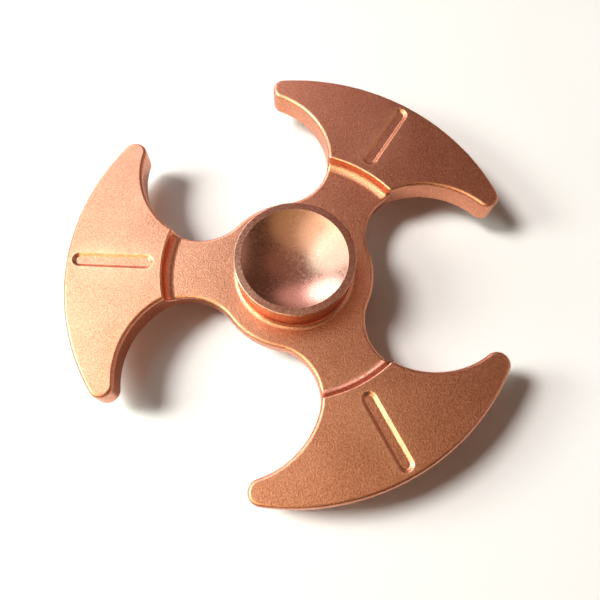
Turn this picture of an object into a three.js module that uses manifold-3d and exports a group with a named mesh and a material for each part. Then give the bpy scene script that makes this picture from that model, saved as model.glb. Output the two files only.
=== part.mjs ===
// Three-arm fidget spinner: a one-piece machined body that turns on a ball bearing
// between two dished finger caps. Each arm ends in a raised, axe-shaped weight with
// a round-ended slot engraved along its middle.
//
// Millimetres. The origin is the centre of the bearing, +Z runs up the spin axis,
// and the first arm points along -X.

import * as THREE from "three";
import { mergeVertices } from "three/addons/utils/BufferGeometryUtils.js";
import Module from "manifold-3d";

const wasm = await Module();
wasm.setup();

// ---------------------------------------------------------------- driving dimensions

// Plan of the body. The arms are alike, and each is symmetric about its own middle line.
const ARM_COUNT = 3;
const FIRST_ARM_DEGREES = 180;
const ARM_REACH = 31; // spin axis to the outermost point of a weight
const RIM_CENTRE_SHIFT = 0.2; // the rim arc's centre, out along the arm
const TIP_RADIUS = 1.65; // rounding of the weight's two horns
const HOLLOW_CENTRE = new THREE.Vector2(10.8, 14.8);
const HOLLOW_RADIUS = 11.6; // concave back of the weight
const NECK_RADIUS = 7.05; // concave side of the arm, where it runs into the hub
const HUB_RADIUS = 10.85; // the hub's lobes between the arms

// Heights of the body, split evenly about the origin's plane.
const BODY_THICKNESS = 4.1;
const STEP_HEIGHT = 1.7; // the weights stand this far above the arms and the hub
const EDGE_CHAMFER = 0.3;

// The step between an arm and its weight is a cove around the spin axis.
const STEP_WALL_RADIUS = 17.9;
const STEP_FOOT_RADIUS = 16.5;

// Engraved slot, on both faces of each weight.
const SLOT_START = 19.1;
const SLOT_END = 30.2;
const SLOT_HALF_WIDTH = 1.1;
const SLOT_DEPTH = 0.35;

// Round boss that carries the bearing, alike above and below.
const BOSS_RADIUS = 7.65;
const BOSS_HEIGHT = 4.3; // from the middle plane
const BOSS_CHAMFER = 0.25;
const BOSS_MOUTH_RADIUS = 6.45; // open recess that the finger cap's belly hangs in
const SHOULDER_RADIUS = 5.9; // ledge that the bearing is pushed up against
const SHOULDER_THICKNESS = 0.6;

// Bearing, R188: 6.35 bore, 12.7 outside, 4.762 wide, ten 1/16 inch balls.
const BEARING_BORE_RADIUS = 3.175;
const BEARING_RADIUS = 6.35;
const BEARING_WIDTH = 4.762;
const BALL_COUNT = 10;
const BALL_RADIUS = 0.79375;
const PITCH_RADIUS = (BEARING_BORE_RADIUS + BEARING_RADIUS) / 2;
const SHOULDER_RISE = 0.33; // how far a race's lands stand above the bottom of its groove
const BALL_PLAY = 0.04;
const RACE_CHAMFER = 0.2;
const SHIELD_THICKNESS = 0.2;
const SHIELD_RECESS = 0.35; // depth of the rebate that holds the shield in the outer race
const SHIELD_SEAT_RADIUS = 5.8;
const CAGE_THICKNESS = 0.5;
const CAGE_TOP = 0.45;
const CAGE_BOTTOM = -1.25;
const CAGE_PLAY = 0.1;

// Threaded ring that closes the bearing's seat from below.
const LOCK_RING_THREAD_RADIUS = 6.75;
const LOCK_RING_THICKNESS = 0.6;
const LOCK_RING_NOTCH = 1.2;

// Finger caps, the same part above and below.
const CAP_RADIUS = 8;
const CAP_HEIGHT = 5.5; // rim above the middle plane
const CAP_EDGE_THICKNESS = 0.8;
const CAP_CHAMFER = 0.2;
const DISH_RADIUS = 7;
const DISH_DEPTH = 1.5;
const CAP_BELLY_RADIUS = 5.8; // the underside's round belly, inside the boss's mouth
const CAP_BELLY_BOTTOM = 3.2;
const CAP_COLLAR_RADIUS = 3.9; // sits on the inner race's end face
const CAP_SPIGOT_RADIUS = 3.14; // locates in the inner race's bore
const CAP_SPIGOT_END = 0.15; // the two spigots stop this far from the middle plane
const CAP_THREAD_RADIUS = 2;
const CAP_THREAD_END = 3.4;

// M4 stud that screws into both caps and clamps the inner race between them.
const STUD_RADIUS = 1.95;
const STUD_HALF_LENGTH = 3.2;
const STUD_CHAMFER = 0.3;

// Fits: between fixed pieces, and along the axis between stacked ones.
const SEAT_PLAY = 0.03;
const STACK_PLAY = 0.02;

// How finely round shapes are divided.
const CHORD_ERROR = 0.015; // how far an outline's arc may stand off its chords
const COVE_SEGMENTS = 96;
const HUB_SEGMENTS = 48;
const RACE_SEGMENTS = 48;
const GROOVE_STEPS = 4;
const DISH_STEPS = 4;
const COVE_STEPS = 3;
const BALL_SEGMENTS = [10, 8];
const POCKET_SEGMENTS = [10, 6];

// ---------------------------------------------------------------- worked out from them

const bodyTop = BODY_THICKNESS / 2;
const bodyBottom = -BODY_THICKNESS / 2;
const armTop = bodyTop - STEP_HEIGHT;
const bearingTop = BEARING_WIDTH / 2;
const gapAngle = Math.PI / ARM_COUNT;
const innerGrooveBottom = PITCH_RADIUS - BALL_RADIUS - BALL_PLAY;
const outerGrooveBottom = PITCH_RADIUS + BALL_RADIUS + BALL_PLAY;
const innerLandRadius = innerGrooveBottom + SHOULDER_RISE;
const outerLandRadius = outerGrooveBottom - SHOULDER_RISE;

const armAngles = Array.from(
  { length: ARM_COUNT },
  (_, i) => THREE.MathUtils.degToRad(FIRST_ARM_DEGREES) + i * 2 * gapAngle,
);

// ---------------------------------------------------------------- materials

const rosegold = new THREE.MeshStandardMaterial({
  color: 0xd9956f,
  metalness: 1,
  roughness: 0.38,
});
const capMetal = new THREE.MeshStandardMaterial({
  color: 0xc98466,
  metalness: 1,
  roughness: 0.3,
});
const bearingSteel = new THREE.MeshStandardMaterial({
  color: 0xc4c7ca,
  metalness: 1,
  roughness: 0.22,
});
const cageBrass = new THREE.MeshStandardMaterial({
  color: 0xc2a15a,
  metalness: 1,
  roughness: 0.35,
});
const darkSteel = new THREE.MeshStandardMaterial({
  color: 0x7d8084,
  metalness: 1,
  roughness: 0.4,
});

// ---------------------------------------------------------------- geometry helpers

// Points along an arc, from one angle to the other in radians, without the last one.
function arc(centre, radius, from, to) {
  const step = 2 * Math.acos(1 - CHORD_ERROR / radius);
  const count = Math.max(2, Math.ceil(Math.abs(to - from) / step));
  return Array.from({ length: count }, (_, i) => {
    const angle = from + ((to - from) * i) / count;
    return new THREE.Vector2(
      centre.x + radius * Math.cos(angle),
      centre.y + radius * Math.sin(angle),
    );
  });
}

// The meeting point of two circles that lies clockwise of the line from a to b.
function circlesMeet(a, radiusA, b, radiusB) {
  const across = b.clone().sub(a);
  const distance = across.length();
  const along = (radiusA ** 2 - radiusB ** 2 + distance ** 2) / (2 * distance);
  const aside = Math.sqrt(radiusA ** 2 - along ** 2);
  across.normalize();
  const right = new THREE.Vector2(across.y, -across.x);
  return a.clone().addScaledVector(across, along).addScaledVector(right, aside);
}

const directionOf = (from, to) => Math.atan2(to.y - from.y, to.x - from.x);

// A solid of revolution about Z. The profile holds [radius, height] pairs. It runs up
// the outside, and it either closes on itself or starts and ends on the axis.
function turned(profile, segments) {
  const points = profile.map(([radius, height]) => new THREE.Vector2(radius, height));
  return new THREE.LatheGeometry(points, segments).rotateX(Math.PI / 2);
}

// A turned ring: the same, with the profile closed for it.
const turnedRing = (profile, segments) => turned([...profile, profile[0]], segments);

function toSolid(geometry) {
  const bare = geometry.clone();
  bare.deleteAttribute("normal");
  bare.deleteAttribute("uv");
  const merged = mergeVertices(bare, 1e-4);
  return new wasm.Manifold(
    new wasm.Mesh({
      numProp: 3,
      vertProperties: new Float32Array(merged.attributes.position.array),
      triVerts: new Uint32Array(merged.index.array),
    }),
  );
}

function toGeometry(solid) {
  const { vertProperties, triVerts } = solid.getMesh();
  const geometry = new THREE.BufferGeometry();
  geometry.setAttribute("position", new THREE.BufferAttribute(vertProperties, 3));
  geometry.setIndex(new THREE.BufferAttribute(triVerts, 1));
  geometry.computeVertexNormals();
  return geometry;
}

function namedMesh(name, geometry, material) {
  const mesh = new THREE.Mesh(geometry, material);
  mesh.name = name;
  return mesh;
}

// ---------------------------------------------------------------- spinner body

// Half of one arm's outline, for an arm along +X: from the middle of its rim round the
// horn, down the hollow and the neck, to the middle of the hub's lobe.
function halfArmOutline() {
  const axis = new THREE.Vector2(0, 0);
  const rimCentre = new THREE.Vector2(RIM_CENTRE_SHIFT, 0);
  const rimRadius = ARM_REACH - RIM_CENTRE_SHIFT;
  const tipCentre = circlesMeet(
    rimCentre,
    rimRadius - TIP_RADIUS,
    HOLLOW_CENTRE,
    HOLLOW_RADIUS + TIP_RADIUS,
  );
  const neckCentre = circlesMeet(
    axis,
    HUB_RADIUS + NECK_RADIUS,
    HOLLOW_CENTRE,
    HOLLOW_RADIUS - NECK_RADIUS,
  );
  const rimEnd = directionOf(rimCentre, tipCentre);
  const tipEnd = directionOf(tipCentre, HOLLOW_CENTRE) + 2 * Math.PI;
  const hollowEnd = directionOf(HOLLOW_CENTRE, neckCentre);
  const neckEnd = directionOf(neckCentre, axis);
  return [
    ...arc(rimCentre, rimRadius, 0, rimEnd),
    ...arc(tipCentre, TIP_RADIUS, rimEnd, tipEnd),
    ...arc(HOLLOW_CENTRE, HOLLOW_RADIUS, tipEnd - Math.PI, hollowEnd),
    ...arc(neckCentre, NECK_RADIUS, hollowEnd, neckEnd),
    ...arc(axis, HUB_RADIUS, neckEnd + Math.PI, gapAngle),
    new THREE.Vector2(Math.cos(gapAngle), Math.sin(gapAngle)).multiplyScalar(HUB_RADIUS),
  ];
}

function bodyOutline() {
  const upper = halfArmOutline();
  const lower = upper.map((p) => new THREE.Vector2(p.x, -p.y)).reverse();
  const oneArm = [...lower.slice(0, -1), ...upper.slice(0, -1)];
  const axis = new THREE.Vector2(0, 0);
  return armAngles.flatMap((angle) =>
    oneArm.map((p) => p.clone().rotateAround(axis, angle)),
  );
}

// A plate with chamfered edges, between two heights.
function plate(outline, bottom, top) {
  const geometry = new THREE.ExtrudeGeometry(new THREE.Shape(outline), {
    depth: top - bottom - 2 * EDGE_CHAMFER,
    bevelThickness: EDGE_CHAMFER,
    bevelSize: EDGE_CHAMFER,
    bevelOffset: -EDGE_CHAMFER,
    bevelSegments: 1,
  });
  return toSolid(geometry.translate(0, 0, bottom + EDGE_CHAMFER));
}

// What is cleared away to leave only the weights: everything inside the cove.
function insideTheCove() {
  const radius = STEP_WALL_RADIUS - STEP_FOOT_RADIUS;
  const beyond = BODY_THICKNESS;
  const profile = [
    [0, -beyond],
    [STEP_FOOT_RADIUS, -beyond],
  ];
  for (let i = 0; i <= COVE_STEPS; i++) {
    const angle = (Math.PI / 2) * (i / COVE_STEPS);
    profile.push([
      STEP_FOOT_RADIUS + radius * Math.sin(angle),
      armTop + radius * (1 - Math.cos(angle)),
    ]);
  }
  profile.push([STEP_WALL_RADIUS, bodyTop - EDGE_CHAMFER]);
  profile.push([STEP_WALL_RADIUS + EDGE_CHAMFER + beyond, bodyTop + beyond]);
  profile.push([0, bodyTop + beyond]);
  return toSolid(turned(profile, COVE_SEGMENTS));
}

function boss() {
  return toSolid(
    turned(
      [
        [0, -BOSS_HEIGHT],
        [BOSS_RADIUS - BOSS_CHAMFER, -BOSS_HEIGHT],
        [BOSS_RADIUS, -BOSS_HEIGHT + BOSS_CHAMFER],
        [BOSS_RADIUS, BOSS_HEIGHT - BOSS_CHAMFER],
        [BOSS_RADIUS - BOSS_CHAMFER, BOSS_HEIGHT],
        [0, BOSS_HEIGHT],
      ],
      HUB_SEGMENTS,
    ),
  );
}

// From below: the lock ring's thread, the bearing's seat, the shoulder and the mouth.
function boreThroughTheBoss() {
  const seatRadius = BEARING_RADIUS + SEAT_PLAY;
  const threadRadius = LOCK_RING_THREAD_RADIUS + SEAT_PLAY;
  const seatTop = bearingTop + STACK_PLAY;
  const shoulderTop = seatTop + SHOULDER_THICKNESS;
  const beyond = BOSS_HEIGHT + 1;
  return toSolid(
    turned(
      [
        [0, -beyond],
        [threadRadius, -beyond],
        [threadRadius, -seatTop],
        [seatRadius, -seatTop],
        [seatRadius, seatTop],
        [SHOULDER_RADIUS, seatTop],
        [SHOULDER_RADIUS, shoulderTop],
        [BOSS_MOUTH_RADIUS, shoulderTop],
        [BOSS_MOUTH_RADIUS, beyond],
        [0, beyond],
      ],
      HUB_SEGMENTS,
    ),
  );
}

// Cutter for one slot, for an arm along +X, reaching up from the given height.
function slotCutter(bottom) {
  const innerEnd = new THREE.Vector2(SLOT_START + SLOT_HALF_WIDTH, 0);
  const outerEnd = new THREE.Vector2(SLOT_END - SLOT_HALF_WIDTH, 0);
  const quarter = Math.PI / 2;
  const outline = [
    ...arc(outerEnd, SLOT_HALF_WIDTH, -quarter, quarter),
    new THREE.Vector2(outerEnd.x, SLOT_HALF_WIDTH),
    ...arc(innerEnd, SLOT_HALF_WIDTH, quarter, 3 * quarter),
    new THREE.Vector2(innerEnd.x, -SLOT_HALF_WIDTH),
  ];
  const geometry = new THREE.ExtrudeGeometry(new THREE.Shape(outline), {
    depth: BODY_THICKNESS,
    bevelEnabled: false,
  });
  return geometry.translate(0, 0, bottom);
}

function spinnerBody() {
  const outline = bodyOutline();
  const weights = plate(outline, bodyBottom, bodyTop).subtract(insideTheCove());
  let body = plate(outline, bodyBottom, armTop).add(weights).add(boss());
  body = body.subtract(boreThroughTheBoss());
  const slotFloors = [bodyTop - SLOT_DEPTH, bodyBottom + SLOT_DEPTH - BODY_THICKNESS];
  for (const angle of armAngles) {
    for (const floor of slotFloors) {
      body = body.subtract(toSolid(slotCutter(floor).rotateZ(angle)));
    }
  }
  return namedMesh("spinner_body", toGeometry(body), rosegold);
}

// ---------------------------------------------------------------- bearing

// [radius, height] pairs along a race's groove, going up. side is +1 where the metal
// is outside the balls and -1 where it is inside.
function groove(landRadius, grooveBottom, side) {
  const radius = BALL_RADIUS + BALL_PLAY;
  const centre = grooveBottom - side * radius;
  const halfAngle = Math.acos(Math.abs(landRadius - centre) / radius);
  return Array.from({ length: GROOVE_STEPS + 1 }, (_, i) => {
    const angle = halfAngle * ((2 * i) / GROOVE_STEPS - 1);
    return [centre + side * radius * Math.cos(angle), radius * Math.sin(angle)];
  });
}

function outerRace() {
  const recess = bearingTop - SHIELD_RECESS;
  const inside = [
    [SHIELD_SEAT_RADIUS, -bearingTop],
    [SHIELD_SEAT_RADIUS, -recess],
    [outerLandRadius, -recess],
    ...groove(outerLandRadius, outerGrooveBottom, 1),
    [outerLandRadius, recess],
    [SHIELD_SEAT_RADIUS, recess],
    [SHIELD_SEAT_RADIUS, bearingTop],
  ];
  const profile = [
    [BEARING_RADIUS - RACE_CHAMFER, -bearingTop],
    [BEARING_RADIUS, -bearingTop + RACE_CHAMFER],
    [BEARING_RADIUS, bearingTop - RACE_CHAMFER],
    [BEARING_RADIUS - RACE_CHAMFER, bearingTop],
    ...inside.reverse(),
  ];
  return namedMesh("outer_race", turnedRing(profile, RACE_SEGMENTS), bearingSteel);
}

function innerRace() {
  const profile = [
    [innerLandRadius, -bearingTop],
    ...groove(innerLandRadius, innerGrooveBottom, -1),
    [innerLandRadius, bearingTop],
    [BEARING_BORE_RADIUS + RACE_CHAMFER, bearingTop],
    [BEARING_BORE_RADIUS, bearingTop - RACE_CHAMFER],
    [BEARING_BORE_RADIUS, -bearingTop + RACE_CHAMFER],
    [BEARING_BORE_RADIUS + RACE_CHAMFER, -bearingTop],
  ];
  return namedMesh("inner_race", turnedRing(profile, RACE_SEGMENTS), bearingSteel);
}

const ballAngles = Array.from(
  { length: BALL_COUNT },
  (_, i) => (i * 2 * Math.PI) / BALL_COUNT,
);

function placedOnPitch(object, angle) {
  object.position.set(
    PITCH_RADIUS * Math.cos(angle),
    PITCH_RADIUS * Math.sin(angle),
    0,
  );
  return object;
}

function balls() {
  return ballAngles.map((angle, i) => {
    const name = "ball_" + String(i + 1).padStart(2, "0");
    const geometry = new THREE.SphereGeometry(BALL_RADIUS, ...BALL_SEGMENTS);
    geometry.rotateX(Math.PI / 2);
    return placedOnPitch(namedMesh(name, geometry, bearingSteel), angle);
  });
}

// A crown: one solid ring below the balls, with pockets that open upwards.
function ballCage() {
  const inside = PITCH_RADIUS - CAGE_THICKNESS / 2;
  const outside = PITCH_RADIUS + CAGE_THICKNESS / 2;
  let cage = toSolid(
    turnedRing(
      [
        [outside, CAGE_BOTTOM],
        [outside, CAGE_TOP],
        [inside, CAGE_TOP],
        [inside, CAGE_BOTTOM],
      ],
      RACE_SEGMENTS,
    ),
  );
  for (const angle of ballAngles) {
    const pocket = new THREE.SphereGeometry(BALL_RADIUS + CAGE_PLAY, ...POCKET_SEGMENTS);
    pocket.rotateX(Math.PI / 2).translate(PITCH_RADIUS, 0, 0).rotateZ(angle);
    cage = cage.subtract(toSolid(pocket));
  }
  return namedMesh("ball_cage", toGeometry(cage), cageBrass);
}

// A thin washer in the outer race's rebate, on the given side of the bearing.
function shield(name, side) {
  const inner = bearingTop - SHIELD_RECESS + STACK_PLAY;
  const outer = inner + SHIELD_THICKNESS;
  const [bottom, top] = side > 0 ? [inner, outer] : [-outer, -inner];
  const bore = innerLandRadius + 2 * BALL_PLAY;
  const rim = SHIELD_SEAT_RADIUS - SEAT_PLAY;
  const profile = [
    [rim, bottom],
    [rim, top],
    [bore, top],
    [bore, bottom],
  ];
  return namedMesh(name, turnedRing(profile, RACE_SEGMENTS), bearingSteel);
}

// Thread drawn as a plain cylinder, with two notches for a pin spanner.
function bearingLockRing() {
  const top = -bearingTop - 2 * STACK_PLAY;
  const bottom = top - LOCK_RING_THICKNESS;
  let ring = toSolid(
    turnedRing(
      [
        [LOCK_RING_THREAD_RADIUS, bottom],
        [LOCK_RING_THREAD_RADIUS, top],
        [SHOULDER_RADIUS, top],
        [SHOULDER_RADIUS, bottom],
      ],
      RACE_SEGMENTS,
    ),
  );
  const notches = new THREE.BoxGeometry(
    3 * LOCK_RING_THREAD_RADIUS,
    LOCK_RING_NOTCH,
    LOCK_RING_THICKNESS,
  ).translate(0, 0, bottom);
  ring = ring.subtract(toSolid(notches));
  return namedMesh("bearing_lock_ring", toGeometry(ring), darkSteel);
}

// ---------------------------------------------------------------- finger caps

// The upper cap as it stands. Its hollow is part of a sphere, and its blind thread is
// open at the spigot.
function capGeometry() {
  const sphereRadius = (DISH_RADIUS ** 2 + DISH_DEPTH ** 2) / (2 * DISH_DEPTH);
  const sphereHeight = CAP_HEIGHT - DISH_DEPTH + sphereRadius;
  const edgeAngle = Math.asin(DISH_RADIUS / sphereRadius);
  const edgeBottom = CAP_HEIGHT - CAP_EDGE_THICKNESS;
  const collarBottom = bearingTop + STACK_PLAY;
  const profile = [
    [0, CAP_THREAD_END],
    [CAP_THREAD_RADIUS, CAP_THREAD_END],
    [CAP_THREAD_RADIUS, CAP_SPIGOT_END],
    [CAP_SPIGOT_RADIUS, CAP_SPIGOT_END],
    [CAP_SPIGOT_RADIUS, collarBottom],
    [CAP_COLLAR_RADIUS, collarBottom],
    [CAP_COLLAR_RADIUS, CAP_BELLY_BOTTOM],
    [CAP_BELLY_RADIUS - CAP_CHAMFER, CAP_BELLY_BOTTOM],
    [CAP_BELLY_RADIUS, CAP_BELLY_BOTTOM + CAP_CHAMFER],
    [CAP_BELLY_RADIUS, edgeBottom],
    [CAP_RADIUS - CAP_CHAMFER, edgeBottom],
    [CAP_RADIUS, edgeBottom + CAP_CHAMFER],
    [CAP_RADIUS, CAP_HEIGHT - CAP_CHAMFER],
    [CAP_RADIUS - CAP_CHAMFER, CAP_HEIGHT],
  ];
  for (let i = DISH_STEPS; i >= 0; i--) {
    const angle = (edgeAngle * i) / DISH_STEPS;
    profile.push([
      sphereRadius * Math.sin(angle),
      sphereHeight - sphereRadius * Math.cos(angle),
    ]);
  }
  return turned(profile, HUB_SEGMENTS);
}

function capStud() {
  const geometry = turned(
    [
      [0, -STUD_HALF_LENGTH],
      [STUD_RADIUS - STUD_CHAMFER, -STUD_HALF_LENGTH],
      [STUD_RADIUS, -STUD_HALF_LENGTH + STUD_CHAMFER],
      [STUD_RADIUS, STUD_HALF_LENGTH - STUD_CHAMFER],
      [STUD_RADIUS - STUD_CHAMFER, STUD_HALF_LENGTH],
      [0, STUD_HALF_LENGTH],
    ],
    RACE_SEGMENTS,
  );
  return namedMesh("cap_stud", geometry, darkSteel);
}

// ---------------------------------------------------------------- assembly

// What turns with the body.
const rotor = new THREE.Group();
rotor.add(
  spinnerBody(),
  outerRace(),
  shield("upper_shield", 1),
  shield("lower_shield", -1),
  bearingLockRing(),
);

// The balls roll round between the two races, kept apart by the cage.
const rollingSet = new THREE.Group();
rollingSet.add(ballCage(), ...balls());

// What the fingers hold still. The lower cap is the upper one turned over.
const heldStill = new THREE.Group();
const topCap = namedMesh("top_cap", capGeometry(), capMetal);
const bottomCap = namedMesh("bottom_cap", capGeometry().rotateX(Math.PI), capMetal);
heldStill.add(topCap, bottomCap, capStud(), innerRace());

const spinner = new THREE.Group();
spinner.add(heldStill, rotor, rollingSet);

export default spinner;
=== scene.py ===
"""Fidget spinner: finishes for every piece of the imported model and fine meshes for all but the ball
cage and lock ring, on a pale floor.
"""

import math
from collections import namedtuple

import bmesh
import bpy
import numpy as np
from mathutils import Matrix, Vector, geometry


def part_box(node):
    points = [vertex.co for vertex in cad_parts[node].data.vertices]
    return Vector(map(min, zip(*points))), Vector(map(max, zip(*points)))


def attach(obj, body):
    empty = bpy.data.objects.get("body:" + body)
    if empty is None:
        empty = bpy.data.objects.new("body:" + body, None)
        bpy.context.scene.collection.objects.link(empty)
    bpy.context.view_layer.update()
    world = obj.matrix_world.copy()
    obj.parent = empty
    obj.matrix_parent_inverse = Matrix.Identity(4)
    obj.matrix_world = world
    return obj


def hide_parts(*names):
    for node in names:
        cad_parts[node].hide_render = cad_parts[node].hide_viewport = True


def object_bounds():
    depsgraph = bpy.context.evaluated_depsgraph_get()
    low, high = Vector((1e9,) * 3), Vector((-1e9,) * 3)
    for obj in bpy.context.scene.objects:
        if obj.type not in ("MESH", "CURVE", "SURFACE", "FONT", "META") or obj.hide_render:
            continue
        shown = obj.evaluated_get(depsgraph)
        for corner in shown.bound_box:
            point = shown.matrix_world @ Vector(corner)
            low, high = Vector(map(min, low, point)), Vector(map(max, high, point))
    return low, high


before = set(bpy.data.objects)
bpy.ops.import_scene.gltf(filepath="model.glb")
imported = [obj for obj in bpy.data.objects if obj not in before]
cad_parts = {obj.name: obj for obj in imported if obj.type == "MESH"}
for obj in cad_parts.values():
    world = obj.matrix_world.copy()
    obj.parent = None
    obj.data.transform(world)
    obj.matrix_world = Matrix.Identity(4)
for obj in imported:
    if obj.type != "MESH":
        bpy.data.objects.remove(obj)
cad_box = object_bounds()

# ------------------------------------------------------------------ sizes, in millimetres

MM = 0.001  # one millimetre in Blender's metres

# Plan of the spinner's body. Each arm is symmetric about its own middle line.
ARM_COUNT = 3
FIRST_ARM = math.pi  # the first arm points along -X
HALF_SECTOR = math.pi / ARM_COUNT
ARM_REACH = 31.0
AXIS = Vector((0.0, 0.0))
RIM_CENTRE = Vector((0.2, 0.0))
TIP_RADIUS = 1.65
HOLLOW_CENTRE = Vector((10.8, 14.8))
HOLLOW_RADIUS = 11.6
NECK_RADIUS = 7.05
HUB_RADIUS = 10.85

# Heights of the body and its rounded edges.
BODY_TOP = 2.05
ARM_TOP = 0.35
EDGE_ROUNDING = 0.5
STEP_WALL_RADIUS = 17.9
STEP_FOOT_RADIUS = 16.5  # between these two the step is a cove
STEP_ROUNDING = 0.3

# Engraved slots.
SLOT_START = 19.1
SLOT_END = 30.2
SLOT_HALF_WIDTH = 1.1
SLOT_DEPTH = 0.35
SLOT_SLOPE = 0.6  # width of the slot's sloping side
SLOT_SOFTENING = 0.2  # share of that width that is rounded, at the top and again at the foot

# Boss around the bearing.
BOSS_RADIUS = 7.65
BOSS_ROUNDING = 0.25
BOSS_FILLET = 0.8
HUB_SEAM_RADIUS = 8.5  # where the turned boss is joined to the flat of the hub
BOSS_MOUTH_RADIUS = 6.45
SHOULDER_RADIUS = 5.9
SHOULDER_THICKNESS = 0.6
SEAT_PLAY = 0.03
STACK_PLAY = 0.02

# Roundings that several turned pieces share.
BROKEN_EDGE = 0.05
INNER_ROUNDING = 0.1
MOUTH_ROUNDING = 0.15

# Races, shields and balls.
BORE_RADIUS = 3.175
RACE_ROUNDING = 0.2
RACE_LAND_ROUNDING = 0.08
REBATE_ROUNDING = 0.04
SHIELD_SEAT_RADIUS = 5.8
SHIELD_RECESS = 0.35
SHIELD_RIM_WIDTH = 0.35
SHIELD_BEND = 0.1  # width of the sloping step inside the shield's rim
SHIELD_BORE_ROUNDING = 0.02
SHOULDER_RISE = 0.33
BALL_PLAY = 0.04
BALL_COUNT = 10

# Finger caps.
DISH_RADIUS = 7.0
DISH_DEPTH = 1.5
CAP_EDGE_THICKNESS = 0.8
CAP_ROUNDING = 0.2
CAP_LIP_ROUNDING = 0.15
CAP_BELLY_RADIUS = 5.8
CAP_BELLY_BOTTOM = 3.2
CAP_BELLY_ROUNDING = 0.25
CAP_COLLAR_RADIUS = 3.9
CAP_SPIGOT_RADIUS = 3.14
CAP_SPIGOT_ROOT = 0.03
CAP_SPIGOT_END = 0.15
CAP_THREAD_RADIUS = 2.0
CAP_THREAD_END = 3.4

# Stud that joins the caps.
THREAD_PITCH = 0.7
THREAD_DEPTH = 0.3
THREAD_COUNT = 8

# How finely things are divided.
CHORD_ERROR = 0.002  # how far an outline's arc may stand off its chords
ROUNDING_STEPS = 6
COVE_STEPS = 14
DISH_STEPS = 28
GROOVE_STEPS = 12
SECTOR_STEPS = 40
LATHE_SEGMENTS = 2 * ARM_COUNT * SECTOR_STEPS
STUD_SEGMENTS = 96
BALL_SUBDIVISIONS = 4

# Lines that keep the body's triangles small beside an edge, at these distances from it.
BESIDE_ROUNDING = 0.15
BESIDE_COVE = 0.2
BESIDE_SLOT = 0.1
PAST_OUTLINE = 0.1  # how far the step's lines run on past the outline
TURN_STEP = 0.004  # the steps, in radians, by which they get there

# How close is close.
NEAR_OUTLINE = 3 * CHORD_ERROR  # points this close to the outline lie on it
NEAR_BORDER = 1e-5  # and these lie on the line between two half arms
MERGE = 2e-5  # vertices closer than this are one
TINY = 1e-6  # what the rounding of numbers may add up to
GRADIENT_STEP = 1e-3  # a slope is measured over twice this

# Handling and a painted highlight, which brighten the finish beside the edges.
WEAR_AND_HIGHLIGHT_REACH = 0.7  # how far from an edge the finish is brightened
WEAR_AND_HIGHLIGHT_PEAK = 0.15  # how far in from the wall it is brightened most


def box_in_mm(node):
    low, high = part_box(node)
    return low / MM, high / MM


boss_bottom, boss_top = (corner.z for corner in box_in_mm("spinner_body"))
cap_top = box_in_mm("top_cap")[1].z
cap_radius = box_in_mm("top_cap")[1].y
race_radius = box_in_mm("outer_race")[1].y
race_top = box_in_mm("outer_race")[1].z
floor_height = cad_box[0].z

# ------------------------------------------------------------------ mesh making


def piece_from(name, places, normals, wear, faces):
    """A closed mesh object from arrays in millimetres, with its own vertex normals."""
    mesh = bpy.data.meshes.new(name)
    mesh.from_pydata((np.asarray(places) * MM).tolist(), [], faces)
    outward = mesh.attributes.new("outward", "FLOAT_VECTOR", "POINT")
    outward.data.foreach_set("vector", np.asarray(normals, np.float32).ravel())
    # Each vertex's share of handling and painted edge highlight, which the finish reads.
    edge_wear_and_highlight = mesh.attributes.new("wear", "FLOAT", "POINT")
    edge_wear_and_highlight.data.foreach_set("value", np.asarray(wear, np.float32))
    body = bmesh.new()
    body.from_mesh(mesh)
    bmesh.ops.remove_doubles(body, verts=body.verts, dist=MERGE * MM)
    bmesh.ops.recalc_face_normals(body, faces=body.faces)
    body.to_mesh(mesh)
    body.free()
    mesh.shade_smooth()
    kept = np.zeros(len(mesh.vertices) * 3, np.float32)
    mesh.attributes["outward"].data.foreach_get("vector", kept)
    mesh.normals_split_custom_set_from_vertices(kept.reshape(-1, 3).tolist())
    mesh.attributes.remove(mesh.attributes["outward"])
    piece = bpy.data.objects.new(name, mesh)
    bpy.context.scene.collection.objects.link(piece)
    return piece


def fit_in(piece, node, body, material):
    """The piece stands for its CAD node, moves with its body and has its finish."""
    piece.data.materials.append(material)
    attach(piece, body)
    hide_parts(node)


def refinish(node, material):
    """The CAD piece stays as it is, with a new finish."""
    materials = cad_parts[node].data.materials
    materials.clear()
    materials.append(material)


# A profile point's last field is its share of handling and painted edge highlight.
ProfilePoint = namedtuple("ProfilePoint", "radius height out up wear")


def normal_of(run):
    """The outward normal beside a profile that runs up the outside."""
    return Vector((run.y, -run.x))


def corner_arc(point, before, after, rounding):
    """Profile points round one corner between two straight runs."""
    turn = before.angle_signed(after)
    bulge = 1 if turn < 0 else -1
    start = point - before * rounding * math.tan(abs(turn) / 2)
    centre = start - normal_of(before) * rounding * bulge
    steps = max(2, math.ceil(abs(turn) / (math.pi / 2) * ROUNDING_STEPS))
    first = math.atan2(start.y - centre.y, start.x - centre.x)
    # Convex roundings get handling and a painted edge highlight; hollow ones get none.
    wear = max(bulge, 0)
    arc = []
    for step in range(steps + 1):
        angle = first - turn * step / steps
        out = Vector((math.cos(angle), math.sin(angle)))
        arc.append(ProfilePoint(*(centre + out * rounding), *(out * bulge), wear))
    return arc


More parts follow.
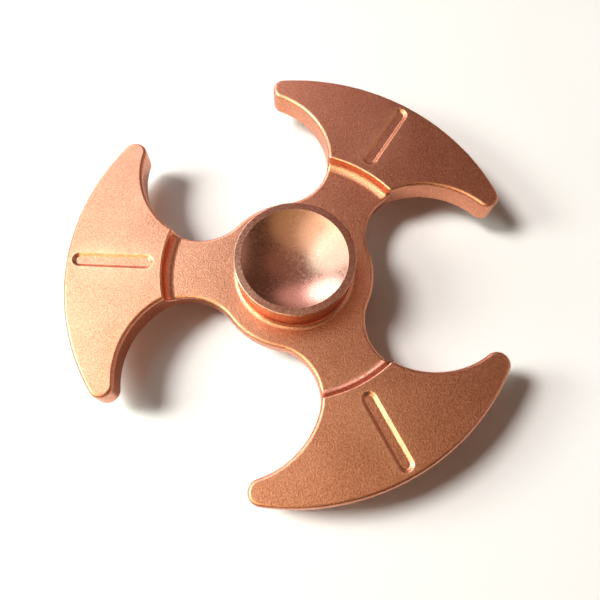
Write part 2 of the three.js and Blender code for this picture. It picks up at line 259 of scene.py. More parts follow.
def rounded(corners, closed=False):
    """Profile through (radius, height, rounding) corners, with each corner rounded off.

    It runs up the outside. A corner without rounding is a point of a smooth curve.
    """
    points = [Vector(corner[:2]) for corner in corners]
    if closed:
        points = [points[-1], *points, points[0]]
    else:
        points = [2 * points[0] - points[1], *points, 2 * points[-1] - points[-2]]
    profile = []
    for i, corner in enumerate(corners, start=1):
        before = (points[i] - points[i - 1]).normalized()
        after = (points[i + 1] - points[i]).normalized()
        if not corner[2]:
            out = (normal_of(before) + normal_of(after)).normalized()
            profile.append(ProfilePoint(*points[i], *out, 0))
            continue
        arc = corner_arc(points[i], before, after, corner[2])
        start, end = Vector(arc[0][:2]), Vector(arc[-1][:2])
        if (start - points[i - 1]).length > 2 * WEAR_AND_HIGHLIGHT_REACH:
            profile.append(ProfilePoint(*(start - before * WEAR_AND_HIGHLIGHT_REACH), *normal_of(before), 0))
        profile += arc
        if (end - points[i + 1]).length > 2 * WEAR_AND_HIGHLIGHT_REACH:
            profile.append(ProfilePoint(*(end + after * WEAR_AND_HIGHLIGHT_REACH), *normal_of(after), 0))
    return profile + profile[:1] if closed else profile


def turned(profile, segments=LATHE_SEGMENTS):
    """Vertex and normal arrays, the share of handling and painted edge highlight at each vertex, and
    the faces of a solid of revolution about Z.
    """
    angles = FIRST_ARM + np.arange(segments) * 2 * math.pi / segments
    rows = np.array(profile)
    cosine, sine = np.cos(angles)[:, None], np.sin(angles)[:, None]
    flat = np.ones_like(cosine)
    places = np.stack([cosine * rows[:, 0], sine * rows[:, 0], flat * rows[:, 1]], axis=-1)
    normals = np.stack([cosine * rows[:, 2], sine * rows[:, 2], flat * rows[:, 3]], axis=-1)
    wear = flat * rows[:, 4]
    width = len(profile)
    faces = []
    for i in range(segments):
        this, following = i * width, (i + 1) % segments * width
        for j in range(width - 1):
            faces.append((this + j, following + j, following + j + 1, this + j + 1))
    return places.reshape(-1, 3), normals.reshape(-1, 3), wear.ravel(), faces


def turned_piece(name, corners, closed=True, segments=LATHE_SEGMENTS):
    return piece_from(name, *turned(rounded(corners, closed), segments))


def upside_down(corners):
    """The same profile turned over about the middle plane."""
    return [(radius, -height, rounding) for radius, height, rounding in reversed(corners)]


# ------------------------------------------------------------------ spinner body: its plan

Arc = namedtuple("Arc", "centre radius start end bulge")


def circles_meet(a, radius_a, b, radius_b):
    """The meeting point of two circles that lies clockwise of the line from a to b."""
    across = b - a
    distance = across.length
    along = (radius_a**2 - radius_b**2 + distance**2) / (2 * distance)
    aside = math.sqrt(radius_a**2 - along**2)
    across.normalize()
    return a + across * along + Vector((across.y, -across.x)) * aside


def heading(start, end):
    """The angle of the way from one point to another."""
    return math.atan2(end.y - start.y, end.x - start.x)


def half_arm_arcs():
    """Half of an arm's outline, from the middle of its rim to the middle of the hub's lobe."""
    rim_radius = ARM_REACH - RIM_CENTRE.x
    tip = circles_meet(
        RIM_CENTRE, rim_radius - TIP_RADIUS, HOLLOW_CENTRE, HOLLOW_RADIUS + TIP_RADIUS
    )
    neck = circles_meet(
        AXIS, HUB_RADIUS + NECK_RADIUS, HOLLOW_CENTRE, HOLLOW_RADIUS - NECK_RADIUS
    )
    rim_end = heading(RIM_CENTRE, tip)
    tip_end = heading(tip, HOLLOW_CENTRE) + 2 * math.pi
    hollow_end = heading(HOLLOW_CENTRE, neck)
    neck_end = heading(neck, AXIS)
    return [
        Arc(RIM_CENTRE, rim_radius, 0.0, rim_end, 1),
        Arc(tip, TIP_RADIUS, rim_end, tip_end, 1),
        Arc(HOLLOW_CENTRE, HOLLOW_RADIUS, tip_end - math.pi, hollow_end, -1),
        Arc(neck, NECK_RADIUS, hollow_end, neck_end, -1),
        Arc(AXIS, HUB_RADIUS, neck_end + math.pi, HALF_SECTOR, 1),
    ]


OUTLINE = half_arm_arcs()


def along_arc(centre, radius, start, end, steps):
    """Points along an arc, with both its ends."""
    angles = [start + (end - start) * i / steps for i in range(steps + 1)]
    return [centre + radius * Vector((math.cos(a), math.sin(a))) for a in angles]


def inset_outline(inset):
    """The half outline moved inwards."""
    line = []
    for arc in OUTLINE:
        step = 2 * math.acos(1 - CHORD_ERROR / arc.radius)
        steps = math.ceil(abs(arc.end - arc.start) / step)
        radius = arc.radius - arc.bulge * inset
        line += along_arc(arc.centre, radius, arc.start, arc.end, steps)[:-1]
    line.append((HUB_RADIUS - inset) * Vector((math.cos(HALF_SECTOR), math.sin(HALF_SECTOR))))
    return line


def folded(x, y):
    """The same point of the half arm that the plan is made of."""
    angle = abs(math.atan2(y, x))
    angle = min(angle, 2 * HALF_SECTOR - angle)
    return math.hypot(x, y) * Vector((math.cos(angle), math.sin(angle)))


def depth_inside(x, y):
    """How far a point lies inside the outline. It is negative outside."""
    point = folded(x, y)
    best = ARM_REACH
    for arc in OUTLINE:
        away = point - arc.centre
        middle = (arc.start + arc.end) / 2
        turn = (math.atan2(away.y, away.x) - middle + math.pi) % (2 * math.pi) - math.pi
        if abs(turn) <= abs(arc.end - arc.start) / 2 + TINY:
            gap = arc.bulge * (arc.radius - away.length)
            best = min(best, gap, key=abs)
    return best


def slot_gap(x, y):
    """Distance from the middle line of the slot."""
    point = folded(x, y)
    nearest = min(max(point.x, SLOT_START + SLOT_HALF_WIDTH), SLOT_END - SLOT_HALF_WIDTH)
    return math.hypot(point.x - nearest, point.y)


# ------------------------------------------------------------------ spinner body: its heights


def rounded_drop(depth, radius):
    """How far a rounded edge has fallen, at a depth inside the wall."""
    if depth >= radius:
        return 0.0
    if depth < NEAR_OUTLINE:
        return radius
    return radius - math.sqrt(radius**2 - (radius - depth) ** 2)


def top_level(radius):
    """The upper side's height at a distance from the spin axis: arm, cove, then weight."""
    cove = STEP_WALL_RADIUS - STEP_FOOT_RADIUS
    if radius <= STEP_FOOT_RADIUS:
        return ARM_TOP
    if radius <= STEP_WALL_RADIUS:
        run = radius - STEP_FOOT_RADIUS
        return ARM_TOP + cove - math.sqrt(max(cove**2 - run**2, 0.0))
    return BODY_TOP - rounded_drop(radius - STEP_WALL_RADIUS, STEP_ROUNDING)


def slot_sink(x, y):
    """How deep the slot is: a flat floor between sloping sides with softened edges."""
    run = (SLOT_HALF_WIDTH - slot_gap(x, y)) / SLOT_SLOPE
    run = min(max(run, 0.0), 1.0)
    end = min(run, 1 - run)
    if end < SLOT_SOFTENING:
        part = end**2 / (2 * SLOT_SOFTENING)
    else:
        part = end - SLOT_SOFTENING / 2
    part /= 1 - SLOT_SOFTENING
    return SLOT_DEPTH * (part if run < 0.5 else 1 - part)


def top_height(x, y):
    drop = rounded_drop(depth_inside(x, y), EDGE_ROUNDING)
    return top_level(math.hypot(x, y)) - drop - slot_sink(x, y)


def bottom_height(x, y):
    return rounded_drop(depth_inside(x, y), EDGE_ROUNDING) + slot_sink(x, y) - BODY_TOP


def slope(function, x, y):
    """The gradient of a function of the plan."""
    across = function(x + GRADIENT_STEP, y) - function(x - GRADIENT_STEP, y)
    along = function(x, y + GRADIENT_STEP) - function(x, y - GRADIENT_STEP)
    return Vector((across, along)) / (2 * GRADIENT_STEP)


def surface_normal(height, x, y, side):
    """Outward normal of the upper side, where side is 1, or of the underside, where it is -1."""
    if depth_inside(x, y) < NEAR_OUTLINE:
        return (-slope(depth_inside, x, y)).normalized().to_3d()
    rise = slope(height, x, y)
    return Vector((-rise.x, -rise.y, 1.0)).normalized() * side


def wear_and_highlight_at(x, y, stepped):
    """How much handling and painted edge highlight show: the most on the edges, and none on the walls
    below them.
    """
    depth = depth_inside(x, y)
    gaps = [depth, abs(slot_gap(x, y) - SLOT_HALF_WIDTH)]
    if stepped:
        gaps.append(abs(math.hypot(x, y) - STEP_WALL_RADIUS - STEP_ROUNDING / 2))
    return max(0.0, min(1.0 - min(gaps) / WEAR_AND_HIGHLIGHT_REACH, depth / WEAR_AND_HIGHLIGHT_PEAK))


# ------------------------------------------------------------------ spinner body: its mesh


def rounding_insets(radius):
    """How far in the loops of a rounded edge lie."""
    turns = [math.pi / 2 * i / ROUNDING_STEPS for i in range(ROUNDING_STEPS + 1)]
    return [radius * (1 - math.cos(turn)) for turn in turns]


def edge_lines():
    """Lines along the outline: the loops of its rounding, and two beside them."""
    insets = [*rounding_insets(EDGE_ROUNDING), EDGE_ROUNDING + BESIDE_ROUNDING, WEAR_AND_HIGHLIGHT_REACH]
    return [inset_outline(inset) for inset in insets]


def step_radii():
    """Where the cove and the rounding above it need lines."""
    cove = STEP_WALL_RADIUS - STEP_FOOT_RADIUS
    turns = [math.pi / 2 * i / COVE_STEPS for i in range(COVE_STEPS)]
    radii = [STEP_FOOT_RADIUS + cove * math.sin(turn) for turn in turns]
    radii += [STEP_WALL_RADIUS + inset for inset in rounding_insets(STEP_ROUNDING)]
    radii.append(STEP_FOOT_RADIUS - BESIDE_COVE)
    radii.append(STEP_WALL_RADIUS + STEP_ROUNDING + BESIDE_ROUNDING)
    radii.append(STEP_WALL_RADIUS + WEAR_AND_HIGHLIGHT_REACH)
    return radii


def step_line(radius):
    """An arc round the spin axis, from the arm's middle line to just outside the outline."""
    end = 0.0
    while depth_inside(radius * math.cos(end), radius * math.sin(end)) > -PAST_OUTLINE:
        end += TURN_STEP
    return along_arc(AXIS, radius, 0.0, end, SECTOR_STEPS // 2)


def slot_lines():
    """Lines along the slot's sloping side, and one on either side of it."""
    gaps = [SLOT_HALF_WIDTH - SLOT_SLOPE * i / ROUNDING_STEPS for i in range(ROUNDING_STEPS + 1)]
    gaps += [SLOT_HALF_WIDTH - SLOT_SLOPE - BESIDE_SLOT, SLOT_HALF_WIDTH + BESIDE_SLOT]
    outer = Vector((SLOT_END - SLOT_HALF_WIDTH, 0.0))
    inner = Vector((SLOT_START + SLOT_HALF_WIDTH, 0.0))
    lines = []
    for gap in gaps:
        line = along_arc(outer, gap, 0.0, math.pi / 2, 3 * ROUNDING_STEPS)
        line += along_arc(inner, gap, math.pi / 2, math.pi, 3 * ROUNDING_STEPS)
        lines.append(line)
    return lines


def plan_lines():
    """The lines that the half arm's triangles follow."""
    seam = along_arc(AXIS, HUB_SEAM_RADIUS, 0.0, HALF_SECTOR, SECTOR_STEPS)
    return [*edge_lines(), *map(step_line, step_radii()), *slot_lines(), seam]


def is_inside(corners):
    middle = sum(corners, Vector((0.0, 0.0))) / len(corners)
    return depth_inside(*middle) > 0


def half_arm_plan():
    """Flat triangles of half an arm: the points, and the triangles as index triples."""
    points, edges = [], []
    for line in plan_lines():
        first = len(points)
        points += line
        edges += [(first + i, first + i + 1) for i in range(len(line) - 1)]
    across = Vector((-math.sin(HALF_SECTOR), math.cos(HALF_SECTOR)))
    for side in (Vector((0.0, 1.0)), across):
        border = [i for i, point in enumerate(points) if abs(point.dot(side)) < NEAR_BORDER]
        border.sort(key=lambda i: points[i].length)
        edges += list(zip(border, border[1:]))
    made_points, _, made_faces, *_ = geometry.delaunay_2d_cdt(points, edges, [], 1, TINY)
    faces = [face for face in made_faces if is_inside([made_points[i] for i in face])]
    used = sorted({index for face in faces for index in face})
    renumbered = {old: new for new, old in enumerate(used)}
    kept = [tuple(renumbered[index] for index in face) for face in faces]
    return [made_points[index] for index in used], kept


def outline_edges(points, faces):
    """The plan's border edges that lie on the outline, in the direction of their faces."""
    directed = {(face[i], face[(i + 1) % 3]) for face in faces for i in range(3)}
    on_outline = [abs(depth_inside(*point)) < 2 * CHORD_ERROR for point in points]
    return [
        (a, b)
        for a, b in directed
        if (b, a) not in directed and on_outline[a] and on_outline[b]
    ]


def half_arm_shell():
    """Top, underside and side wall of half an arm, as arrays."""
    points, faces = half_arm_plan()
    count = len(points)
    places = [(x, y, top_height(x, y)) for x, y in points]
    places += [(x, y, bottom_height(x, y)) for x, y in points]
    normals = [surface_normal(top_height, x, y, 1) for x, y in points]
    normals += [surface_normal(bottom_height, x, y, -1) for x, y in points]
    wear = [wear_and_highlight_at(x, y, stepped) for stepped in (True, False) for x, y in points]
    shell = list(faces)
    shell += [tuple(count + index for index in reversed(face)) for face in faces]
    for a, b in outline_edges(points, faces):
        shell.append((a, count + a, count + b, b))
    return np.array(places), np.array(normals), np.array(wear), shell


def all_arms(half):
    """Six copies of the half arm, every second one mirrored."""
    places, normals, wear, faces = half
    every_place, every_normal, every_face = [], [], []
    for copy in range(2 * ARM_COUNT):
        angle = FIRST_ARM + 2 * HALF_SECTOR * (copy // 2)
        side = -1 if copy % 2 else 1
        cosine, sine = math.cos(angle), math.sin(angle)
        turn = np.array([[cosine, -sine * side, 0], [sine, cosine * side, 0], [0, 0, 1]])
        every_place.append(places @ turn.T)
        every_normal.append(normals @ turn.T)
        shift = copy * len(places)
        for face in faces:
            every_face.append(tuple(shift + i for i in (face[::-1] if copy % 2 else face)))
    wear = np.tile(wear, 2 * ARM_COUNT)
    return np.concatenate(every_place), np.concatenate(every_normal), wear, every_face


def boss_profile():
    """The boss and the seat through it, from the hub's upper side to its underside."""
    seat = race_radius + SEAT_PLAY
    seat_top = race_top + STACK_PLAY
    thread = box_in_mm("bearing_lock_ring")[1].y + SEAT_PLAY
    corners = [
        (HUB_SEAM_RADIUS, -BODY_TOP, 0),
        (BOSS_RADIUS, -BODY_TOP, BOSS_FILLET),
        (BOSS_RADIUS, boss_bottom, BOSS_ROUNDING),
        (thread, boss_bottom, MOUTH_ROUNDING),
        (thread, -seat_top, BROKEN_EDGE),
        (seat, -seat_top, BROKEN_EDGE),
        (seat, seat_top, BROKEN_EDGE),
        (SHOULDER_RADIUS, seat_top, BROKEN_EDGE),
        (SHOULDER_RADIUS, seat_top + SHOULDER_THICKNESS, BROKEN_EDGE),
        (BOSS_MOUTH_RADIUS, seat_top + SHOULDER_THICKNESS, INNER_ROUNDING),
        (BOSS_MOUTH_RADIUS, boss_top, MOUTH_ROUNDING),
        (BOSS_RADIUS, boss_top, BOSS_ROUNDING),
        (BOSS_RADIUS, ARM_TOP, BOSS_FILLET),
        (HUB_SEAM_RADIUS, ARM_TOP, 0),
    ]
    return rounded(corners[::-1])


def spinner_body():
    places, normals, wear, faces = all_arms(half_arm_shell())
    ring = turned(boss_profile())
    shift = len(places)
    faces += [tuple(shift + index for index in face) for face in ring[3]]
    places = np.concatenate([places, ring[0]])
    normals = np.concatenate([normals, ring[1]])
    wear = np.concatenate([wear, ring[2]])
    return piece_from("body_shell", places, normals, wear, faces)


# ------------------------------------------------------------------ finger caps


def cap_corners():
    """The upper cap's profile: blind thread, spigot, collar, belly, rim and dish."""
    dish_sphere = (DISH_RADIUS**2 + DISH_DEPTH**2) / (2 * DISH_DEPTH)
    dish_centre = cap_top - DISH_DEPTH + dish_sphere
    dish_edge = math.asin(DISH_RADIUS / dish_sphere)
    edge_bottom = cap_top - CAP_EDGE_THICKNESS
    collar_bottom = race_top + STACK_PLAY
    corners = [
        (0.0, CAP_THREAD_END, 0),
        (CAP_THREAD_RADIUS, CAP_THREAD_END, BROKEN_EDGE),
        (CAP_THREAD_RADIUS, CAP_SPIGOT_END, BROKEN_EDGE),
        (CAP_SPIGOT_RADIUS, CAP_SPIGOT_END, INNER_ROUNDING),
        (CAP_SPIGOT_RADIUS, collar_bottom, CAP_SPIGOT_ROOT),
        (CAP_COLLAR_RADIUS, collar_bottom, BROKEN_EDGE),
        (CAP_COLLAR_RADIUS, CAP_BELLY_BOTTOM, INNER_ROUNDING),
        (CAP_BELLY_RADIUS, CAP_BELLY_BOTTOM, CAP_BELLY_ROUNDING),
        (CAP_BELLY_RADIUS, edge_bottom, CAP_ROUNDING),
        (cap_radius, edge_bottom, CAP_ROUNDING),
        (cap_radius, cap_top, CAP_LIP_ROUNDING),
        (DISH_RADIUS, cap_top, CAP_ROUNDING),
    ]
    for i in range(1, DISH_STEPS + 1):
        angle = dish_edge * (1 - i / DISH_STEPS)
        place = (dish_sphere * math.sin(angle), dish_centre - dish_sphere * math.cos(angle))
        corners.append((*place, 0))
    return corners


def finger_caps(material):
    corners = cap_corners()
    for node, profile in (("top_cap", corners), ("bottom_cap", upside_down(corners))):
        cap = turned_piece(node + "_fine", profile, closed=False)
        fit_in(cap, node, "finger_caps", material)


def cap_stud(material):
    """A grub screw. Its thread is drawn as rings, one to a pitch."""
    low, high = box_in_mm("cap_stud")
    root = high.y - THREAD_DEPTH
    first = -THREAD_PITCH * THREAD_COUNT / 2
    corners = [(0.0, low.z, 0), (root, low.z, BROKEN_EDGE)]
    for i in range(THREAD_COUNT):
        foot = first + i * THREAD_PITCH
        corners.append((root, foot, BROKEN_EDGE))
        corners.append((high.y, foot + THREAD_PITCH / 2, BROKEN_EDGE))
    corners += [(root, -first, BROKEN_EDGE), (root, high.z, BROKEN_EDGE), (0.0, high.z, 0)]
    stud = turned_piece("cap_stud_fine", corners, closed=False, segments=STUD_SEGMENTS)
    fit_in(stud, "cap_stud", "finger_caps", material)


# ------------------------------------------------------------------ bearing

ball_low, ball_high = box_in_mm("ball_01")
ball_radius = (ball_high.z - ball_low.z) / 2
pitch_radius = (ball_low.x + ball_high.x) / 2
groove_radius = ball_radius + BALL_PLAY
inner_groove = pitch_radius - groove_radius
outer_groove = pitch_radius + groove_radius
inner_land = inner_groove + SHOULDER_RISE
outer_land = outer_groove - SHOULDER_RISE


def groove(land, side):
    """Points up a race's groove. side is +1 where the metal is outside the balls."""
    half_angle = math.acos(abs(land - pitch_radius) / groove_radius)
    turns = [half_angle * (2 * i / GROOVE_STEPS - 1) for i in range(GROOVE_STEPS + 1)]
    return [
        (pitch_radius + side * groove_radius * math.cos(a), groove_radius * math.sin(a), 0)
        for a in turns
    ]


def outer_race():
    recess = race_top - SHIELD_RECESS
    inside = [
        (SHIELD_SEAT_RADIUS, -race_top, RACE_LAND_ROUNDING),
        (SHIELD_SEAT_RADIUS, -recess, REBATE_ROUNDING),
        (outer_land, -recess, RACE_LAND_ROUNDING),
        *groove(outer_land, 1),
        (outer_land, recess, RACE_LAND_ROUNDING),
        (SHIELD_SEAT_RADIUS, recess, REBATE_ROUNDING),
        (SHIELD_SEAT_RADIUS, race_top, RACE_LAND_ROUNDING),
    ]
    outside = [(race_radius, height, RACE_ROUNDING) for height in (-race_top, race_top)]
    return turned_piece("outer_race_fine", outside + inside[::-1])


def inner_race():
    corners = [
        (inner_land, -race_top, RACE_LAND_ROUNDING),
        *groove(inner_land, -1),
        (inner_land, race_top, RACE_LAND_ROUNDING),
        (BORE_RADIUS, race_top, MOUTH_ROUNDING),
        (BORE_RADIUS, -race_top, MOUTH_ROUNDING),
    ]
    return turned_piece("inner_race_fine", corners)


def shield(node):
    """A pressed washer: its rim sits in the race's rebate and its middle is dished inwards."""
    low, high = box_in_mm(node)
    side = 1 if low.z > 0 else -1
    inner, outer = sorted((low.z, high.z), key=abs)
    middle = (inner + outer) / 2
    rim = high.y
    bore = inner_land + 2 * BALL_PLAY
    bend = rim - SHIELD_RIM_WIDTH
    corners = [
        (bore, inner, SHIELD_BORE_ROUNDING),
        (rim, inner, REBATE_ROUNDING),
        (rim, outer, REBATE_ROUNDING),
        (bend, outer, BROKEN_EDGE),
        (bend - SHIELD_BEND, middle, BROKEN_EDGE),
        (bore, middle, SHIELD_BORE_ROUNDING),
    ]
    if side < 0:
        corners.reverse()
    return turned_piece(node + "_fine", corners)


def ball(node):
    """A finely divided icosphere."""
    low, high = box_in_mm(node)
    mesh = bpy.data.meshes.new(node + "_fine")
    body = bmesh.new()
    radius = ball_radius * MM
    bmesh.ops.create_icosphere(body, subdivisions=BALL_SUBDIVISIONS, radius=radius)
    bmesh.ops.translate(body, verts=body.verts, vec=(low + high) / 2 * MM)
    body.to_mesh(mesh)
    body.free()
    mesh.shade_smooth()
    piece = bpy.data.objects.new(node + "_fine", mesh)
    bpy.context.scene.collection.objects.link(piece)
    return piece


def bearing(steel, brass):
    fit_in(outer_race(), "outer_race", "rotor", steel)
    fit_in(inner_race(), "inner_race", "finger_caps", steel)
    for node in ("upper_shield", "lower_shield"):
        fit_in(shield(node), node, "rotor", steel)
    for number in range(1, BALL_COUNT + 1):
        node = f"ball_{number:02}"
        fit_in(ball(node), node, "rolling_" + node, steel)
    refinish("ball_cage", brass)


# ------------------------------------------------------------------ finishes

# Sizes of the finishes' features, in millimetres.
CLOUD_SIZE = 7.0  # patches of slightly different rose gold
WEAR_AND_HIGHLIGHT_PATCH_SIZE = 0.6
GLOSS_PATCH_SIZE = 0.35
STEEL_PATCH_SIZE = 2.0
TURNING_PITCH = 0.06
TURNING_DEPTH = 0.002
TABLE_PATCH_SIZE = 60.0

# And how strong they are.
NOISE_LOW, NOISE_HIGH = 0.3, 0.7  # noise hardly ever leaves this range
GLOSS_SPREAD = 0.05  # how far the roughness strays from its middle
RING_DULLING = 0.08  # how far the turning rings raise it
WEAR_AND_HIGHLIGHT_FALL = 4.0  # power by which the handling and painted highlight fall off away from an edge
WEAR_AND_HIGHLIGHT_GAPS = 0.25  # handling and painted highlight between its patches, as a share of the most
SHADE = 0.5  # the darkest grains, as a share of the dark colour; the grain's tone is partly painted sparkle


def add(tree, kind, inputs=(), **settings):
    """A shader node. Its inputs are values, or the sockets of other nodes."""
    node = tree.nodes.new(kind)
    for name, value in settings.items():
        setattr(node, name, value)
    for name, value in dict(inputs).items():
        if isinstance(value, bpy.types.NodeSocket):
            tree.links.new(value, node.inputs[name])
        else:
            node.inputs[name].default_value = value
    return node


def new_material(name):
    material = bpy.data.materials.new(name)
    material.use_nodes = True
    material.node_tree.nodes.clear()
    return material, material.node_tree


def in_millimetres(tree):
    """The surface's own place on its piece, in millimetres."""
    place = add(tree, "ShaderNodeTexCoord").outputs["Object"]
    scaled = add(tree, "ShaderNodeMapping", {"Vector": place, "Scale": (1 / MM,) * 3})
    return scaled.outputs["Vector"]


def noise(tree, place, feature, detail=2.0):
    """Cloudy noise whose largest features are about this many millimetres."""
    inputs = {"Vector": place, "Scale": 1 / feature, "Detail": detail}
    return add(tree, "ShaderNodeTexNoise", inputs).outputs["Fac"]


def between(tree, value, low, high):
    """Noise stretched so that it runs from low to high."""
    source = {"Value": value, "From Min": NOISE_LOW, "From Max": NOISE_HIGH}
    target = {"To Min": low, "To Max": high}
    return add(tree, "ShaderNodeMapRange", source | target).outputs["Result"]


def mixed(tree, share, first, second):
    inputs = {"Fac": share, "Color1": first, "Color2": second}
    return add(tree, "ShaderNodeMixRGB", inputs).outputs["Color"]


def bumped(tree, height, depth):
    """Bump of this many millimetres."""
    inputs = {"Height": height, "Distance": depth * MM, "Strength": 1.0}
    return add(tree, "ShaderNodeBump", inputs).outputs["Normal"]


def show(tree, shader):
    """The shader is what the material shows."""
    output = add(tree, "ShaderNodeOutputMaterial")
    tree.links.new(shader.outputs["BSDF"], output.inputs["Surface"])


def finish_metal(tree, colour, roughness, normal):
    inputs = {"Base Color": colour, "Roughness": roughness, "Normal": normal, "Metallic": 1.0}
    show(tree, add(tree, "ShaderNodeBsdfPrincipled", inputs))


def wear_and_highlight_share(tree, place, most):
    """Handling and a painted highlight along the edges, broken up by noise."""
    edge_wear_and_highlight = add(tree, "ShaderNodeAttribute", attribute_name="wear").outputs["Fac"]
    patches = noise(tree, place, WEAR_AND_HIGHLIGHT_PATCH_SIZE, 3.0)
    patchy = between(tree, patches, most * WEAR_AND_HIGHLIGHT_GAPS, most)
    raised = add(tree, "ShaderNodeMath", {0: edge_wear_and_highlight, 1: WEAR_AND_HIGHLIGHT_FALL}, operation="POWER")
    share = {0: raised.outputs[0], 1: patchy}
    return add(tree, "ShaderNodeMath", share, operation="MULTIPLY").outputs[0]


def anodised(name, dark, light, bright, roughness, wear_and_highlight_strength, grain_and_sparkle_share, grain_size, grain_depth):
    """Rose gold with a fine grain whose tone is partly painted sparkle, and edges brightened by
    handling and by a painted highlight.

    handled is how much the edges are brightened, by handling and painted highlight, and fleck how far
    single grains differ, which is partly painted sparkle.
    The grain's size and depth are in millimetres.
    """
    material, tree = new_material(name)
    place = in_millimetres(tree)
    tone = between(tree, noise(tree, place, CLOUD_SIZE, 3.0), 0.0, 1.0)
    colour = mixed(tree, tone, dark, light)
    grain = noise(tree, place, grain_size)
    # Single grains range from a dark shade of the colour to bright: grain tone, partly painted
    # sparkle.
    shade = [channel * SHADE for channel in dark[:3]] + [1]
    grain_and_sparkle = mixed(tree, between(tree, grain, 0.0, 1.0), shade, bright)
    colour = mixed(tree, grain_and_sparkle_share, colour, grain_and_sparkle)
    # Edges go towards the bright colour: handling and a painted highlight.
    colour = mixed(tree, wear_and_highlight_share(tree, place, wear_and_highlight_strength), colour, bright)
    patches = noise(tree, place, GLOSS_PATCH_SIZE, 3.0)
    rough = between(tree, patches, roughness - GLOSS_SPREAD, roughness + GLOSS_SPREAD)
    finish_metal(tree, colour, rough, bumped(tree, grain, grain_depth))
    return material


def turned_metal(name, dark, light, roughness):
    """Steel or brass with faint turning rings round the spin axis."""
    material, tree = new_material(name)
    place = in_millimetres(tree)
    tone = between(tree, noise(tree, place, STEEL_PATCH_SIZE, 3.0), 0.0, 1.0)
    colour = mixed(tree, tone, dark, light)
    parts = add(tree, "ShaderNodeSeparateXYZ", {"Vector": place}).outputs
    flat = add(tree, "ShaderNodeCombineXYZ", {"X": parts["X"], "Y": parts["Y"]}).outputs[0]
    radius = add(tree, "ShaderNodeVectorMath", {0: flat}, operation="LENGTH").outputs["Value"]
    ring = add(tree, "ShaderNodeCombineXYZ", {"X": radius, "Y": parts["Z"]}).outputs[0]
    rings = noise(tree, ring, TURNING_PITCH)
    rough = between(tree, rings, roughness - GLOSS_SPREAD, roughness + RING_DULLING)
    finish_metal(tree, colour, rough, bumped(tree, rings, TURNING_DEPTH))
    return material


def pale_floor():
    """A pale, faintly glossy table top."""
    material, tree = new_material("pale_table")
    place = in_millimetres(tree)
    tone = between(tree, noise(tree, place, TABLE_PATCH_SIZE), 0.0, 1.0)
    colour = mixed(tree, tone, (0.80, 0.785, 0.76, 1), (0.84, 0.83, 0.81, 1))
    inputs = {"Base Color": colour, "Roughness": 0.35, "Specular IOR Level": 0.4}
    show(tree, add(tree, "ShaderNodeBsdfPrincipled", inputs))
    return material


# ------------------------------------------------------------------ floor, light and camera

TABLE_RADIUS = 3.0  # metres
FLOOR_GAP = 0.01  # millimetres between the cap and the table, which would flicker if they met

WALL_COLOUR = (0.72, 0.69, 0.65, 1)
DIM_COLOUR = (0.12, 0.074, 0.054, 1)
WALL_HEIGHT = 0.25  # sine of the angle up to which the pale wall reaches

# Millimetres, degrees of roll, and the lens in millimetres on a 36 mm sensor.
CAMERA_PLACE = Vector((1.37, -32.88, 80.46))
CAMERA_TARGET = Vector((0.86, -3.89, 0.0))
CAMERA_ROLL = 1.33
CAMERA_LENS = 37.78
CAMERA_NEAR = 0.001  # metres; nothing nearer is drawn


def table():
    body = bmesh.new()
    bmesh.ops.create_circle(body, cap_ends=True, segments=96, radius=TABLE_RADIUS)
    mesh = bpy.data.meshes.new("table")
    body.to_mesh(mesh)
    body.free()
    floor = bpy.data.objects.new("table", mesh)
    floor.location.z = floor_height - FLOOR_GAP * MM
    mesh.materials.append(pale_floor())
    bpy.context.scene.collection.objects.link(floor)


def light_from(lamp, azimuth, elevation, distance):
    """A light that faces the object, from a compass direction and a height in degrees."""
    light = bpy.data.objects.new(lamp.name, lamp)
    turn, lift = math.radians(azimuth), math.radians(elevation)
    level = math.cos(lift)
    away = Vector((level * math.cos(turn), level * math.sin(turn), math.sin(lift)))
    light.location = away * distance
    light.rotation_euler = away.to_track_quat("Z", "Y").to_euler()
    light.visible_camera = False
    bpy.context.scene.collection.objects.link(light)
    return light


def key_light():
    """Even light over the whole floor, which throws the shadows. The metal doesn't show it."""
    lamp = bpy.data.lights.new("key", "SUN")
    lamp.angle = math.radians(17)
    lamp.color = (1.0, 0.985, 0.96)
    lamp.energy = 3.5
    light_from(lamp, azimuth=172, elevation=50, distance=0.4).visible_glossy = False


def soft_light(name, azimuth, elevation, distance, size, colour, power, lights_floor):
    """A round area light that the metal shows, and that may light the floor as well."""
    lamp = bpy.data.lights.new(name, "AREA")
    lamp.shape = "ELLIPSE"
    lamp.size, lamp.size_y = size
    lamp.color = colour
    lamp.energy = power
    light_from(lamp, azimuth, elevation, distance).visible_diffuse = lights_floor


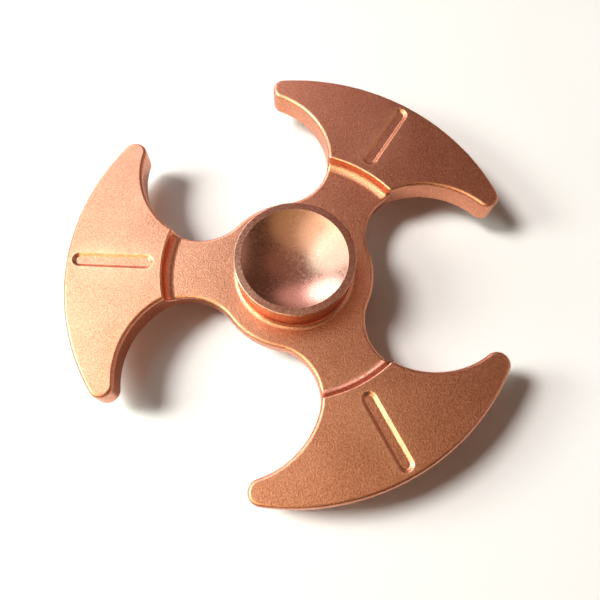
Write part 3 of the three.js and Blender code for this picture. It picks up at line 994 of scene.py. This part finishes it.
# Each light's name, compass direction and height in degrees, distance and size in metres,
# colour, power in watts, and whether it lights the floor too. Together they are one wide
# window on the left, and a dim room.
LIGHTS = [
    ("window_middle", 182, 33, 0.40, (0.15, 0.13), (0.93, 1.0, 0.98), 0.75, True),
    ("window_near", 180, 34, 0.16, (0.06, 0.05), (0.85, 1.0, 0.85), 0.07, True),
    ("window_front", 212, 22, 0.40, (0.20, 0.20), (1.0, 1.0, 0.8), 0.55, False),
    ("window_back", 150, 30, 0.40, (0.17, 0.15), (0.95, 0.9, 1.0), 0.22, False),
    ("window_far_back", 115, 35, 0.40, (0.15, 0.15), (0.75, 0.82, 1.0), 0.36, False),
    ("window_low_back", 135, 12, 0.40, (0.20, 0.08), (1.0, 0.98, 0.9), 0.3, True),
    ("window_high", 205, 52, 0.40, (0.24, 0.20), (1.0, 1.0, 0.8), 0.3, False),
    ("window_high_back", 150, 57, 0.40, (0.26, 0.23), (0.62, 0.92, 1.0), 0.46, False),
    ("window_top", 176, 72, 0.40, (0.26, 0.22), (0.9, 0.97, 0.9), 0.15, False),
    ("ceiling_back", 84, 65, 0.40, (0.24, 0.22), (1.0, 0.55, 0.5), 0.026, False),
    ("window_high_front", 245, 45, 0.40, (0.25, 0.22), (1.0, 0.9, 0.6), 0.45, False),
    ("ceiling", 262, 82, 0.40, (0.30, 0.30), (1.0, 0.85, 0.5), 0.11, False),
    ("wall_behind", 97, 36, 0.40, (0.20, 0.16), (1.0, 0.75, 0.85), 0.07, False),
    ("room_right", 10, 35, 0.50, (0.60, 0.30), (1.0, 0.9, 0.85), 0.25, False),
]


def room_light():
    """A pale wall all round, low down, and a dim warm room above it."""
    world = bpy.data.worlds.new("room")
    bpy.context.scene.world = world
    world.use_nodes = True
    tree = world.node_tree
    direction = add(tree, "ShaderNodeTexCoord").outputs["Generated"]
    height = add(tree, "ShaderNodeSeparateXYZ", {"Vector": direction}).outputs["Z"]
    inputs = {"Value": height, "From Min": 0.0, "From Max": WALL_HEIGHT}
    share = add(tree, "ShaderNodeMapRange", inputs, interpolation_type="SMOOTHSTEP")
    colour = mixed(tree, share.outputs["Result"], WALL_COLOUR, DIM_COLOUR)
    tree.links.new(colour, tree.nodes["Background"].inputs["Color"])


def camera():
    """The photo's viewpoint."""
    data = bpy.data.cameras.new("camera")
    data.lens = CAMERA_LENS
    data.clip_start = CAMERA_NEAR
    view = bpy.data.objects.new("camera", data)
    aim = (CAMERA_TARGET - CAMERA_PLACE).to_track_quat("-Z", "Y").to_matrix()
    view.matrix_world = (aim @ Matrix.Rotation(math.radians(CAMERA_ROLL), 3, "Z")).to_4x4()
    view.location = CAMERA_PLACE * MM
    bpy.context.scene.collection.objects.link(view)
    bpy.context.scene.camera = view


# ------------------------------------------------------------------ the whole scene

bpy.context.scene.view_settings.view_transform = "Standard"

rose_gold = anodised(
    "rose_gold_blasted",
    dark=(0.60, 0.205, 0.115, 1),
    light=(0.76, 0.29, 0.175, 1),
    bright=(0.94, 0.47, 0.28, 1),
    roughness=0.33,
    wear_and_highlight_strength=0.8,
    grain_and_sparkle_share=0.42,
    grain_size=0.2,
    grain_depth=0.03,
)
cap_gold = anodised(
    "rose_gold_cap_satin",
    dark=(0.54, 0.24, 0.155, 1),
    light=(0.64, 0.32, 0.22, 1),
    bright=(0.85, 0.57, 0.42, 1),
    roughness=0.23,
    wear_and_highlight_strength=0.05,
    grain_and_sparkle_share=0.1,
    grain_size=0.14,
    grain_depth=0.002,
)
steel = turned_metal(
    "bearing_steel_ground",
    dark=(0.48, 0.49, 0.5, 1),
    light=(0.62, 0.63, 0.64, 1),
    roughness=0.18,
)
brass = turned_metal(
    "cage_brass_pressed",
    dark=(0.55, 0.38, 0.12, 1),
    light=(0.72, 0.52, 0.2, 1),
    roughness=0.3,
)
dark_steel = turned_metal(
    "dark_steel_turned",
    dark=(0.16, 0.165, 0.17, 1),
    light=(0.26, 0.265, 0.27, 1),
    roughness=0.35,
)

fit_in(spinner_body(), "spinner_body", "rotor", rose_gold)
finger_caps(cap_gold)
bearing(steel, brass)
cap_stud(dark_steel)
refinish("bearing_lock_ring", dark_steel)

table()
room_light()
key_light()
for light in LIGHTS:
    soft_light(*light)
camera()
